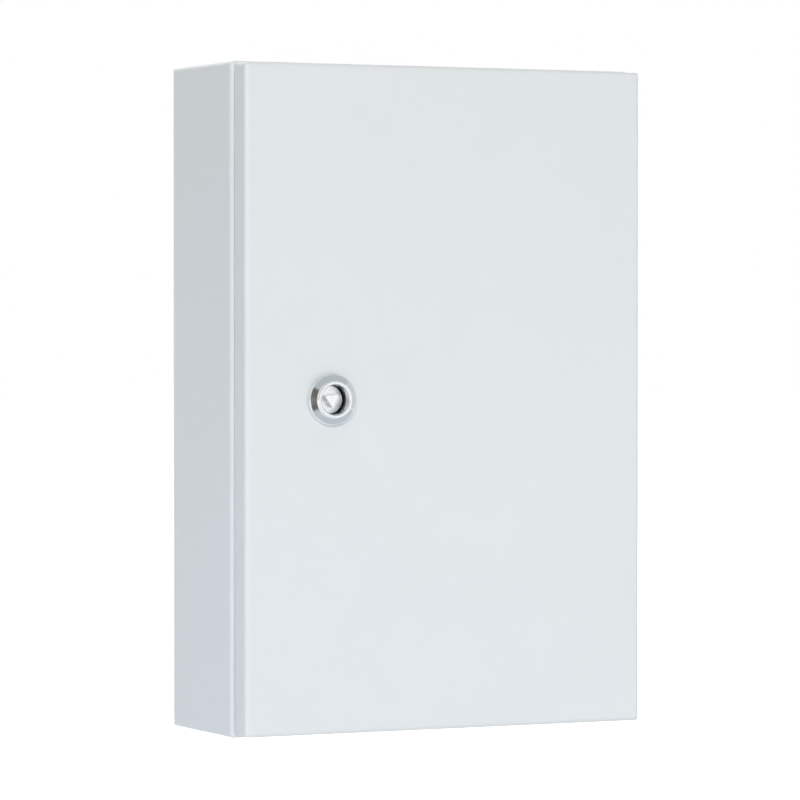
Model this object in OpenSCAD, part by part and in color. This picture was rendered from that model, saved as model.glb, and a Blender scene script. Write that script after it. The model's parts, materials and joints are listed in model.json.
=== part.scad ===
// Compact steel wall enclosure: a folded body, an overlapping door on two concealed hinges,
// a quarter-turn lock, a mounting plate and a gland plate. Sizes are in millimetres.
// The origin is the centre of the face that meets the wall. For someone in front of the
// door, +X is right and +Z is up, and the door faces -Y.

/* [Body] */
// Overall width
case_w = 200; // [180:5:400]
// Overall height
case_h = 300; // [260:5:600]
// Depth from the wall to the door's face, without the lock's head
case_d = 80; // [74:1:200]
// Sheet thickness of the body
body_t = 1.25; // [1:0.05:1.5]
// Outside radius of the body's bends
body_bend = 2.2; // [1.8:0.1:3]
// Width of the rim, from the body's side to the lip round the opening
rim_w = 14.2; // [14:0.1:16]
// Diameter of the four wall holes
wall_hole_d = 9; // [6:0.5:10]
// Distance of the wall holes from the body's sides, top and bottom
wall_hole_in = 25; // [22:1:30]

/* [Door] */
// Sheet thickness of the door
door_t = 1.25; // [1:0.05:1.5]
// Outside radius of the door's bends
door_bend = 1.8; // [1.6:0.1:3]
// Depth of the door's folded edge
door_d = 11.4; // [11.3:0.1:11.9]
// How far the door's edges stand in from the body's sides
door_inset = 1.2; // [0.8:0.1:1.5]
// Gap between the door's folded edge and the rim
rim_gap = 1.8; // [1.7:0.1:3]
// Width of the door gasket
gasket_w = 8; // [6:0.5:8]
// Height of the door gasket when the lip meets it
gasket_h = 2.8; // [2.2:0.1:2.9]

/* [Hinges] */
// Distance of each hinge's middle from the body's top or bottom
hinge_end = 50; // [46:1:80]
// Distance of the hinge axis from the door's outer side face
hinge_in = 4; // [3.9:0.1:4.1]
// Distance of the hinge axis in front of the folded edge's rear end
hinge_back = 4.7; // [4.55:0.05:4.8]
// Diameter of the hinge pins
pin_d = 3; // [2.4:0.1:3.2]
// Sheet thickness of the hinge leaves
leaf_t = 1.6; // [1.2:0.1:1.6]
// Length of the knuckle on the body leaf
knuckle_l = 20; // [12:1:30]
// Length of each knuckle on the door leaf
door_knuckle_l = 10; // [6:1:14]
// Length of the door leaf's foot beyond its knuckles, at each end
foot_end = 12; // [10:1:20]
// Shank diameter of the rivets in the body leaves
rivet_d = 3; // [2.4:0.1:3.2]
// Thread of the weld studs that hold the door leaves
leaf_stud_d = 4; // [3:0.5:4]

/* [Lock] */
// Distance of the lock's axis from the door's outer side face
lock_in = 41.3; // [34:0.1:60]
// Diameter of the lock's head
head_d = 23; // [22:0.5:28]
// Height of the head in front of the door
head_h = 5.3; // [4.6:0.1:6]
// Height of the head's straight edge
head_edge = 2.3; // [1:0.1:2.6]
// Outside diameter of the raised ring
ring_d = 17.1; // [16.6:0.1:18]
// Diameter of the key recess at its mouth
mouth_d = 13.2; // [13:0.1:13.6]
// Diameter of the threaded barrel
barrel_d = 18; // [17:0.5:19]
// Distance across the barrel's flats
barrel_flats = 16; // [15:0.5:16.5]
// Diameter of the turning disc in the recess
disc_d = 12.8; // [12:0.1:13]
// Depth of the turning disc's face below the head's front
disc_drop = 6.5; // [6:0.1:7]
// Thickness of the turning disc
disc_t = 2; // [1.5:0.1:3]
// Side of the triangular post, before its corners are blunted
post_side = 6.8; // [6:0.1:8]
// Height of the triangular post
post_h = 2.9; // [2.5:0.1:4]
// Turn of the post in its rest position
post_turn = 6; // [0:0.5:10]
// Diameter of the core's shaft
shaft_d = 8; // [7:0.5:8]
// Width of the square on the shaft's end
square_w = 5.6; // [5:0.1:5.6]
// Thickness of the stop washer
stop_t = 2; // [1.5:0.1:2.5]
// Thickness of the cam
cam_t = 2.5; // [2:0.1:3]
// Width of the cam
cam_w = 15; // [12:1:18]
// How far the locked cam reaches behind the rim
cam_bite = 7; // [4:0.5:9]

/* [Mounting plate] */
// Thickness of the mounting plate
plate_t = 2; // [1.5:0.1:3]
// Distance of the plate's edges from the body's sides, top and bottom
plate_in = 22; // [20:1:26]
// Size of the plate's clipped corners
plate_clip = 20; // [18:1:26]
// Height of the spacers behind the plate
plate_standoff = 10; // [8:1:20]
// Distance of the plate's studs from its side edges
plate_stud_x = 10; // [9:1:14]
// Distance of the plate's studs from its upper and lower edges
plate_stud_z = 30; // [28:1:50]
// Thread of the plate's weld studs
plate_stud_d = 6; // [5:1:6]

/* [Gland plate] */
// Width of the cable opening in the floor
gland_open_w = 120; // [80:5:120]
// Depth of the cable opening in the floor
gland_open_d = 38; // [30:1:38]
// Overlap of the gland plate at the ends of the opening
gland_lap_x = 10; // [9:0.5:12]
// Overlap of the gland plate along the opening
gland_lap_y = 7; // [5:0.5:7]
// Thickness of the gland plate
gland_t = 1.5; // [1:0.1:2]
// Thickness of the gland plate's gasket
gland_seal_t = 1.5; // [1:0.1:2]
// Distance between the gland plate's studs, along its ends
gland_stud_span = 28; // [20:1:40]
// Thread of the gland plate's weld studs
gland_stud_d = 5; // [4:1:5]

/* [Earthing] */
// Thread of the earth studs
earth_d = 6; // [5:1:6]
// Length of the earth studs
earth_l = 14; // [12:1:18]
// Distance of the body's earth stud to the left of the middle
earth_x = 40; // [30:5:60]
// Height of the body's earth stud above the underside
earth_up = 12.5; // [12:0.5:14]
// Distance of the door's earth stud from the door's hinged side
door_earth_in = 38; // [34:1:60]
// Height of the door's earth stud above the door's lower edge
door_earth_up = 44; // [40:1:80]

/* [Hidden] */
$fn = 64;
cut = 1;                 // how far a cutter runs past the face that it cuts

// Clearances
thread_gap = 0.05;       // between a stud and its nut, on the radius
hole_gap = 0.25;         // between a stud and the hole that it passes through, on the radius
pin_gap = 0.05;          // between a hinge pin and a knuckle, on the radius
knuckle_gap = 0.3;       // between two knuckles, and between a knuckle and the door's folded edge
seat_gap = 0.15;         // between the lip and the gasket that it presses
foot_gap = 0.3;          // between a hinge foot and the door gasket
cam_gap = 0.3;           // between the locked cam and the rim
disc_gap = 0.7;          // between the disc and the wall of the recess

// Planes, as Y positions
door_front = -case_d;
door_skin = door_front + door_t;
door_back = door_front + door_d;
rim_front = door_back + rim_gap;
rim_back = rim_front + body_t;
lip_edge = door_skin + gasket_h + seat_gap;

// Half sizes of the door and of the opening
door_w = case_w - 2 * door_inset;
door_h = case_h - 2 * door_inset;
lip_w = case_w - 2 * rim_w;
lip_h = case_h - 2 * rim_w;
lip_r = 3;
gasket_out = gasket_w / 2 - body_t / 2;      // from the lip's outer face to the gasket's outer edge

// Hinge, with U pointing from the axis into the enclosure and V from the axis to the wall
hinge_x = door_w / 2 - hinge_in;
hinge_y = door_back - hinge_back;
knuckle_r = hinge_in - door_t - knuckle_gap;
lip_u = hinge_x - lip_w / 2;
skin_v = door_skin - hinge_y;
rim_v = rim_front - hinge_y;
leaf_margin = 1.5;                            // between the body leaf and the rim
leaf_end_v = rim_v - leaf_margin;
foot_u = lip_u - gasket_out - foot_gap;
stack_l = knuckle_l + 2 * (door_knuckle_l + knuckle_gap);
hinge_z = case_h / 2 - hinge_end;
leaf_bend = door_bend - door_t + knuckle_gap; // outside radius of the door leaf's bend
leg_v = skin_v + min(leaf_bend, leaf_t);      // where the door leaf's leg rises from its foot
foot_l = stack_l + 2 * foot_end;
leaf_stud_z = stack_l / 2 + foot_end / 2;
leaf_stud_u = (foot_u - knuckle_r) / 2;
leaf_nut_af = 7;
flat_turn = 30;                               // turns a nut's flat towards the lip
leaf_nut_h = 3.2;
leaf_stud_spare = 1.8;                        // thread that stands out of the nut on a leaf stud
leaf_stud_l = leaf_t + leaf_nut_h + leaf_stud_spare;
pin_head_d = pin_d + 1.2;
pin_head_h = 1;
pin_head_taper = 0.3;
rivet_off = 4;                                // from the end of the body knuckle to a rivet's axis
rivet_z = knuckle_l / 2 + rivet_off;
rivet_v = (leaf_end_v - knuckle_r) / 2;
rivet_flange = 1.2;                           // how far a rivet's head stands out from its shank
rivet_head_d = rivet_d + 2 * rivet_flange;
rivet_head_h = 1;
rivet_head_taper = 0.5;
rivet_sink = leaf_t - 0.3;                    // depth of the countersunk head in the leaf

// Lock, with its own Z pointing out of the door, Z = 0 on the door's outer face
lock_x = lock_in - door_w / 2;
recess_d = disc_d + 2 * disc_gap;
disc_z = head_h - disc_drop;
floor_z = disc_z - disc_t;
cam_z = -(door_d + rim_gap + body_t + cam_gap);
barrel_end = cam_z + stop_t;
lock_nut_af = 24;
lock_nut_h = 4;
lock_thread_gap = 0.1;
lock_hole_gap = 0.2;
seal_t = 0.8;
seal_w = 1.6;
seal_gap = 0.1;
edge_round = 0.5;
disc_round = 0.3;
post_blunt = 0.88;       // the post's corners are cut at this share of their reach
ring_round = 0.65;
shaft_gap = 0.05;
square_gap = 0.1;
stop_r = 8;
notch_depth = 1.5;
notch_r = 5.6;
lug_gap = 0.2;
lug_angle = 30;
quarter = 90;
lug_play = 2;
cam_hub_r = 9;
cam_tip_r = 3;
cam_l = lock_in - (rim_w - door_inset + body_t) + cam_bite;
screw_d = 4;
screw_head_af = 8;
screw_head_h = 3;
screw_depth = 9;
cam_washer_d = 12;
cam_washer_t = 1;

// Fasteners: nut widths and heights for a thread of diameter d
function nut_af(d) = d * 1.6 + 0.4;
function nut_h(d) = d * 0.8;
function washer_d(d) = d * 2;
function washer_t(d) = d * 0.25;
spare_thread = 2;        // thread that stands out of a nut

// Mounting plate
plate_w = case_w - 2 * plate_in;
plate_h = case_h - 2 * plate_in;
stud_x = plate_w / 2 - plate_stud_x;
stud_z = plate_h / 2 - plate_stud_z;
plate_back = -body_t - plate_standoff;
plate_front = plate_back - plate_t;
plate_stud_l = plate_standoff + plate_t + washer_t(plate_stud_d) + nut_h(plate_stud_d) + spare_thread;
spacer_d = plate_stud_d * 1.7;

// Gland plate
gland_y = (rim_back - body_t) / 2;
gland_r = 4;
gland_stud_x = gland_open_w / 2 + gland_lap_x / 2;
floor_top = -case_h / 2 + body_t;
gland_stud_l = gland_seal_t + gland_t + nut_h(gland_stud_d) + spare_thread;

// Earthing
door_earth_x = door_w / 2 - door_earth_in;
door_earth_z = -door_h / 2 + door_earth_up;
body_earth_z = -case_h / 2 + earth_up;

// ---------------------------------------------------------------- shared shapes

// Extrudes a shape drawn in X and Z, from y0 to y1
module along_y(y0, y1) {
    translate([0, y1, 0])
        rotate([90, 0, 0])
            linear_extrude(y1 - y0)
                children();
}

// Extrudes a shape drawn in Y and Z, over the width w about X = 0
module along_x(w) {
    rotate([90, 0, 90])
        linear_extrude(w, center = true)
            children();
}

// Rectangle about its centre, with corners of radius r
module rounded(w, h, r) {
    square([w - 2 * r, h], center = true);
    square([w, h - 2 * r], center = true);
    for (x = [-1, 1], z = [-1, 1])
        translate([x * (w / 2 - r), z * (h / 2 - r)])
            circle(r);
}

// Box from y0 to y1, with every edge bent to radius r
module bent_box(w, h, y0, y1, r) {
    intersection() {
        along_y(y0, y1)
            rounded(w, h, r);
        translate([0, (y0 + y1) / 2, 0])
            linear_extrude(h, center = true)
                rounded(w, y1 - y0, r);
        translate([0, (y0 + y1) / 2, 0])
            along_x(w)
                rounded(y1 - y0, h, r);
    }
}

// Puts a part at the four corners of a rectangle of half sizes x and z
module at_corners(x, z) {
    for (i = [-1, 1], k = [-1, 1])
        translate([i * x, 0, k * z])
            children();
}

// Turns a part that points along +Z so that it points out of the door, along -Y
module facing_front() {
    rotate([90, 0, 0])
        children();
}

// Weld stud that stands on Z = 0, with a chamfered end
module stud(d, length) {
    chamfer = d * 0.12;
    r = d / 2 - thread_gap;
    cylinder(h = length - chamfer, r = r);
    translate([0, 0, length - chamfer])
        cylinder(h = chamfer, r1 = r, r2 = r - chamfer);
}

// Hexagon nut that stands on Z = 0
module nut(d, af, h) {
    difference() {
        intersection() {
            cylinder(h = h, r = af / sqrt(3), $fn = 6);
            translate([0, 0, -af / 2 + h / 2])
                cylinder(h = af + h / 2, r1 = af * 1.02, r2 = af * 0.5);
        }
        translate([0, 0, -cut])
            cylinder(h = h + 2 * cut, r = d / 2);
    }
}

// Flat washer that stands on Z = 0
module washer(d, od, t) {
    difference() {
        cylinder(h = t, r = od / 2);
        translate([0, 0, -cut])
            cylinder(h = t + 2 * cut, r = d / 2 + hole_gap);
    }
}

// Nut of an earth stud, above its washer
module raised_earth_nut() {
    translate([0, 0, washer_t(earth_d)])
        nut(earth_d, nut_af(earth_d), nut_h(earth_d));
}

// ---------------------------------------------------------------- body

module rim_opening() {
    rounded(lip_w - 2 * body_t, lip_h - 2 * body_t, lip_r - body_t);
}

module body_shell() {
    color([0.78, 0.80, 0.80])
        difference() {
            union() {
                difference() {
                    bent_box(case_w, case_h, rim_front, 0, body_bend);
                    bent_box(case_w - 2 * body_t, case_h - 2 * body_t, rim_back, -body_t, body_bend - body_t);
                }
                along_y(lip_edge, rim_back)
                    rounded(lip_w, lip_h, lip_r);
            }
            along_y(lip_edge - cut, rim_back + cut)
                rim_opening();
            at_corners(case_w / 2 - wall_hole_in, case_h / 2 - wall_hole_in)
                translate([0, cut, 0])
                    facing_front()
                        cylinder(h = body_t + 2 * cut, r = wall_hole_d / 2);
            translate([0, gland_y, -case_h / 2 - cut])
                linear_extrude(body_t + 2 * cut)
                    rounded(gland_open_w, gland_open_d, gland_r);
            at_hinges()
                at_rivets()
                    translate([0, 0, -cut])
                        cylinder(h = rim_w, r = rivet_d / 2);
        }
}

// ---------------------------------------------------------------- hinges

module at_hinge(side) {
    translate([hinge_x, hinge_y, side * hinge_z])
        mirror([1, 0, 0])
            children();
}

module at_hinges() {
    for (side = [-1, 1])
        at_hinge(side)
            children();
}

// Places a part at both rivets of a hinge, with Z along U from the body leaf's outer face
module at_rivets() {
    for (k = [-1, 1])
        translate([lip_u - leaf_t, rivet_v, k * rivet_z])
            rotate([0, 90, 0])
                children();
}

// Places a part at both weld studs of a door leaf, with Z along V from the door's skin
module at_leaf_studs() {
    for (k = [-1, 1])
        translate([leaf_stud_u, skin_v, k * leaf_stud_z])
            rotate([-90, 0, 0])
                children();
}

module pin_bore() {
    cylinder(h = foot_l + 2 * cut, r = pin_d / 2 + pin_gap, center = true);
}

module rivet_shape(gap) {
    r = rivet_d / 2 - gap;
    cylinder(h = rivet_sink, r1 = rivet_head_d / 2 - gap, r2 = r);
    cylinder(h = leaf_t + body_t, r = r);
}

module body_leaf() {
    leaf_h = 2 * (rivet_z + rivet_head_d);
    difference() {
        union() {
            linear_extrude(knuckle_l, center = true) {
                circle(knuckle_r);
                translate([0, -knuckle_r])
                    square([lip_u, leaf_t]);
            }
            linear_extrude(leaf_h, center = true)
                translate([lip_u - leaf_t, -knuckle_r])
                    square([leaf_t, leaf_end_v + knuckle_r]);
        }
        pin_bore();
        at_rivets() {
            translate([0, 0, -thread_gap])
                cylinder(h = rivet_sink + thread_gap, r1 = rivet_head_d / 2 + thread_gap, r2 = rivet_d / 2);
            translate([0, 0, -cut])
                cylinder(h = leaf_t + 2 * cut, r = rivet_d / 2);
        }
    }
}

// Foot of the door leaf, with its bent corner towards the door's folded edge
module foot_section() {
    intersection() {
        translate([-knuckle_r, skin_v])
            square([foot_u + knuckle_r, leaf_t]);
        union() {
            translate([leaf_bend - knuckle_r, skin_v])
                square([foot_u + knuckle_r, leaf_t]);
            translate([-knuckle_r, skin_v + leaf_bend])
                square([leaf_bend, leaf_t]);
            translate([leaf_bend - knuckle_r, skin_v + leaf_bend])
                circle(leaf_bend);
        }
    }
}

module door_leaf() {
    difference() {
        union() {
            linear_extrude(stack_l, center = true) {
                circle(knuckle_r);
                translate([-knuckle_r, leg_v])
                    square([leaf_t, -leg_v]);
            }
            linear_extrude(foot_l, center = true)
                foot_section();
        }
        linear_extrude(knuckle_l + 2 * knuckle_gap, center = true)
            translate([-2 * knuckle_r, skin_v + leaf_t])
                square([4 * knuckle_r, knuckle_r - skin_v]);
        pin_bore();
        at_leaf_studs()
            translate([0, 0, -cut])
                cylinder(h = leaf_t + 2 * cut, r = leaf_stud_d / 2 + hole_gap);
    }
}

module hinge_pin() {
    shank_l = stack_l + 2 * knuckle_gap;
    cylinder(h = shank_l, r = pin_d / 2, center = true);
    for (k = [0, 1])
        mirror([0, 0, k])
            translate([0, 0, shank_l / 2])
                cylinder(h = pin_head_h, r1 = pin_head_d / 2, r2 = pin_head_d / 2 - pin_head_taper);
}

module hinge_body_leaf_upper() { color("silver") at_hinge(1) body_leaf(); }
module hinge_body_leaf_lower() { color("silver") at_hinge(-1) body_leaf(); }
module hinge_door_leaf_upper() { color("gainsboro") at_hinge(1) door_leaf(); }
module hinge_door_leaf_lower() { color("gainsboro") at_hinge(-1) door_leaf(); }
module hinge_pin_upper() { color("dimgray") at_hinge(1) hinge_pin(); }
module hinge_pin_lower() { color("dimgray") at_hinge(-1) hinge_pin(); }

module hinge_rivets() {
    color("lightsteelblue")
        at_hinges()
            at_rivets() {
                rivet_shape(thread_gap);
                translate([0, 0, leaf_t + body_t])
                    cylinder(h = rivet_head_h, r1 = rivet_head_d / 2, r2 = rivet_head_d / 2 - rivet_head_taper);
            }
}

module hinge_door_studs() {
    color("peru")
        at_hinges()
            at_leaf_studs()
                stud(leaf_stud_d, leaf_stud_l);
}

module hinge_door_nuts() {
    color("silver")
        at_hinges()
            at_leaf_studs()
                translate([0, 0, leaf_t])
                    rotate([0, 0, flat_turn])
                        nut(leaf_stud_d, leaf_nut_af, leaf_nut_h);
}

// ---------------------------------------------------------------- mounting plate

module plate_outline() {
    x = plate_w / 2;
    z = plate_h / 2;
    c = plate_clip;
    polygon([[x, c - z], [x, z - c], [x - c, z], [c - x, z], [-x, z - c], [-x, c - z], [c - x, -z], [x - c, -z]]);
}

module mounting_plate() {
    color([0.72, 0.74, 0.76])
        difference() {
            along_y(plate_front, plate_back)
                plate_outline();
            at_corners(stud_x, stud_z)
                translate([0, plate_back + cut, 0])
                    facing_front()
                        cylinder(h = plate_t + 2 * cut, r = plate_stud_d / 2 + hole_gap);
        }
}

module plate_studs() {
    color("peru")
        at_corners(stud_x, stud_z)
            translate([0, -body_t, 0])
                facing_front()
                    stud(plate_stud_d, plate_stud_l);
}

module plate_spacers() {
    color("silver")
        at_corners(stud_x, stud_z)
            translate([0, -body_t, 0])
                facing_front()
                    washer(plate_stud_d, spacer_d, plate_standoff);
}

module plate_washers() {
    color("silver")
        at_corners(stud_x, stud_z)
            translate([0, plate_front, 0])
                facing_front()
                    washer(plate_stud_d, washer_d(plate_stud_d), washer_t(plate_stud_d));
}

module plate_nuts() {
    color("silver")
        at_corners(stud_x, stud_z)
            translate([0, plate_front - washer_t(plate_stud_d), 0])
                facing_front()
                    nut(plate_stud_d, nut_af(plate_stud_d), nut_h(plate_stud_d));
}

// ---------------------------------------------------------------- gland plate

// Places a part at the four gland studs, standing on the enclosure's floor
module at_gland_studs() {
    for (i = [-1, 1], k = [-1, 1])
        translate([i * gland_stud_x, gland_y + k * gland_stud_span / 2, floor_top])
            children();
}

module gland_outline() {
    rounded(gland_open_w + 2 * gland_lap_x, gland_open_d + 2 * gland_lap_y, gland_r);
}

module gland_stud_holes() {
    at_gland_studs()
        translate([0, 0, -cut])
            cylinder(h = gland_seal_t + gland_t + 2 * cut, r = gland_stud_d / 2 + hole_gap);
}

module gland_gasket() {
    color([0.15, 0.15, 0.16])
        difference() {
            translate([0, gland_y, floor_top])
                linear_extrude(gland_seal_t)
                    difference() {
                        gland_outline();
                        rounded(gland_open_w, gland_open_d, gland_r);
                    }
            gland_stud_holes();
        }
}

module gland_plate() {
    color([0.78, 0.80, 0.80])
        difference() {
            translate([0, gland_y, floor_top + gland_seal_t])
                linear_extrude(gland_t)
                    gland_outline();
            gland_stud_holes();
        }
}

module gland_studs() {
    color("peru")
        at_gland_studs()
            stud(gland_stud_d, gland_stud_l);
}

module gland_nuts() {
    color("silver")
        at_gland_studs()
            translate([0, 0, gland_seal_t + gland_t])
                nut(gland_stud_d, nut_af(gland_stud_d), nut_h(gland_stud_d));
}

// ---------------------------------------------------------------- earthing

module at_body_earth() {
    translate([-earth_x, -body_t, body_earth_z])
        facing_front()
            children();
}

module at_door_earth() {
    translate([door_earth_x, door_skin, door_earth_z])
        rotate([-90, 0, 0])
            children();
}

module body_earth_stud() { color("peru") at_body_earth() stud(earth_d, earth_l); }
module body_earth_washer() { color("silver") at_body_earth() washer(earth_d, washer_d(earth_d), washer_t(earth_d)); }
module body_earth_nut() { color("gold") at_body_earth() raised_earth_nut(); }
module door_earth_stud() { color("peru") at_door_earth() stud(earth_d, earth_l); }
module door_earth_washer() { color("silver") at_door_earth() washer(earth_d, washer_d(earth_d), washer_t(earth_d)); }
module door_earth_nut() { color("gold") at_door_earth() raised_earth_nut(); }

// ---------------------------------------------------------------- door

module barrel_outline(gap) {
    intersection() {
        circle(barrel_d / 2 + gap);
        square([barrel_flats + 2 * gap, barrel_d + 2 * cut], center = true);
    }
}

module door_shell() {
    color([0.88, 0.90, 0.90])
        difference() {
            bent_box(door_w, door_h, door_front, door_back + 2 * door_bend, door_bend);
            bent_box(door_w - 2 * door_t, door_h - 2 * door_t, door_skin, door_back + 3 * door_bend, door_bend - door_t);
            along_y(door_back, door_back + 3 * door_bend)
                square([case_w, case_h], center = true);
            at_lock()
                translate([0, 0, -door_t - cut])
                    linear_extrude(door_t + 2 * cut)
                        barrel_outline(lock_hole_gap);
        }
}

module door_gasket() {
    out = 2 * gasket_out;
    color([0.2, 0.2, 0.21])
        along_y(door_skin, door_skin + gasket_h)
            difference() {
                rounded(lip_w + out, lip_h + out, lip_r + gasket_out);
                rounded(lip_w + out - 2 * gasket_w, lip_h + out - 2 * gasket_w, lip_r);
            }
}

// ---------------------------------------------------------------- lock

module at_lock() {
    translate([lock_x, door_front, 0])
        facing_front()
            children();
}

// Sector between two angles, as seen from the front
module sector(from, to, reach) {
    middle = (from + to) / 2;
    polygon([[0, 0], for (a = [from, middle, to]) 2 * reach * [cos(a), sin(a)]]);
}

// Half section of the lock's housing, with the radius along X
module housing_section() {
    head_r = head_d / 2;
    ring_r = ring_d / 2;
    mouth_r = mouth_d / 2;
    barrel_r = barrel_d / 2;
    bore_r = shaft_d / 2 + shaft_gap;
    seal_r = barrel_r + seal_w + 2 * seal_gap;
    polygon([
        [bore_r, barrel_end],
        [barrel_r, barrel_end],
        [barrel_r, seal_t],
        [seal_r, seal_t],
        [seal_r, 0],
        [head_r, 0],
        [head_r, head_edge],
        [head_r - edge_round, head_edge + edge_round],
        [ring_r, head_h - 2 * ring_round],
        [ring_r, head_h - ring_round],
        [ring_r - ring_round, head_h],
        [mouth_r + ring_round, head_h],
        [mouth_r, head_h - ring_round],
        [recess_d / 2, disc_z],
        [recess_d / 2, floor_z],
        [bore_r, floor_z]
    ]);
    translate([head_r - edge_round, head_edge])
        circle(edge_round);
    for (r = [ring_r - ring_round, mouth_r + ring_round])
        translate([r, head_h - ring_round])
            circle(ring_round);
}

module lock_housing() {
    color([0.8, 0.81, 0.83])
        at_lock()
            difference() {
                rotate_extrude()
                    housing_section();
                translate([0, 0, barrel_end - cut])
                    linear_extrude(cut - barrel_end)
                        difference() {
                            circle(barrel_d);
                            barrel_outline(0);
                        }
                translate([0, 0, barrel_end - cut])
                    linear_extrude(notch_depth + cut)
                        intersection() {
                            difference() {
                                circle(barrel_d);
                                circle(notch_r);
                            }
                            sector(-quarter - lug_angle / 2 - quarter - lug_play, -quarter + lug_angle / 2 + lug_play, barrel_d);
                        }
            }
}

module lock_seal() {
    color([0.12, 0.12, 0.12])
        at_lock()
            difference() {
                cylinder(h = seal_t, r = barrel_d / 2 + seal_gap + seal_w);
                translate([0, 0, -cut])
                    cylinder(h = seal_t + 2 * cut, r = barrel_d / 2 + seal_gap);
            }
}

module lock_nut() {
    color("silver")
        at_lock()
            translate([0, 0, -door_t - lock_nut_h])
                nut(barrel_d + 2 * lock_thread_gap, lock_nut_af, lock_nut_h);
}

module post_outline() {
    reach = post_side / sqrt(3);
    intersection() {
        rotate(post_turn - quarter)
            circle(reach, $fn = 3);
        circle(reach * post_blunt);
    }
}

module lock_core() {
    square_z = cam_z - cam_t + square_gap;
    color([0.86, 0.87, 0.89])
        at_lock()
            difference() {
                union() {
                    translate([0, 0, floor_z])
                        cylinder(h = disc_t - disc_round, r = disc_d / 2);
                    translate([0, 0, disc_z - disc_round])
                        cylinder(h = disc_round, r1 = disc_d / 2, r2 = disc_d / 2 - disc_round);
                    translate([0, 0, disc_z])
                        linear_extrude(post_h)
                            post_outline();
                    translate([0, 0, barrel_end])
                        cylinder(h = floor_z - barrel_end, r = shaft_d / 2);
                    translate([0, 0, square_z])
                        linear_extrude(barrel_end - square_z)
                            square(square_w, center = true);
                }
                translate([0, 0, square_z - cut])
                    cylinder(h = screw_depth + cut, r = screw_d / 2);
            }
}

// Square hole for the shaft's end
module square_hole() {
    square(square_w + 2 * square_gap, center = true);
}

module lock_stop_washer() {
    color("silver")
        at_lock() {
            translate([0, 0, cam_z])
                linear_extrude(stop_t)
                    difference() {
                        circle(stop_r);
                        square_hole();
                    }
            translate([0, 0, barrel_end])
                linear_extrude(notch_depth - lug_gap)
                    intersection() {
                        difference() {
                            circle(stop_r);
                            circle(notch_r + lug_gap);
                        }
                        sector(-quarter - lug_angle / 2, -quarter + lug_angle / 2, stop_r);
                    }
        }
}

module lock_cam() {
    color("silver")
        at_lock()
            translate([0, 0, cam_z - cam_t])
                linear_extrude(cam_t)
                    difference() {
                        union() {
                            circle(cam_hub_r);
                            translate([-cam_w / 2, cam_tip_r - cam_l])
                                square([cam_w, cam_l - cam_tip_r]);
                            translate([cam_tip_r - cam_w / 2, -cam_l])
                                square([cam_w - 2 * cam_tip_r, cam_l]);
                            for (i = [-1, 1])
                                translate([i * (cam_w / 2 - cam_tip_r), cam_tip_r - cam_l])
                                    circle(cam_tip_r);
                        }
                        square_hole();
                    }
}

module cam_washer() {
    color("gainsboro")
        at_lock()
            translate([0, 0, cam_z - cam_t - cam_washer_t])
                washer(screw_d, cam_washer_d, cam_washer_t);
}

module cam_screw() {
    head_z = cam_z - cam_t - cam_washer_t - screw_head_h;
    shank_l = screw_depth - square_gap - spare_thread / 2;
    color("silver")
        at_lock() {
            translate([0, 0, head_z])
                cylinder(h = screw_head_h, r = screw_head_af / sqrt(3), $fn = 6);
            translate([0, 0, head_z + screw_head_h])
                cylinder(h = shank_l, r = screw_d / 2 - thread_gap);
        }
}

// ---------------------------------------------------------------- the parts, by name

body_shell();
hinge_body_leaf_upper();
hinge_body_leaf_lower();
hinge_pin_upper();
hinge_pin_lower();
hinge_rivets();
mounting_plate();
plate_studs();
plate_spacers();
plate_washers();
plate_nuts();
gland_plate();
gland_gasket();
gland_studs();
gland_nuts();
body_earth_stud();
body_earth_washer();
body_earth_nut();
door_shell();
door_gasket();
hinge_door_leaf_upper();
hinge_door_leaf_lower();
hinge_door_studs();
hinge_door_nuts();
door_earth_stud();
door_earth_washer();
door_earth_nut();
lock_housing();
lock_seal();
lock_nut();
lock_core();
lock_stop_washer();
lock_cam();
cam_washer();
cam_screw();
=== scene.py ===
"""Dresses a compact steel wall enclosure: the box, its door, its lock and what is inside."""

import json
import logging
import math
from dataclasses import dataclass, field
from enum import Enum
from typing import Iterable, Sequence

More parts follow.
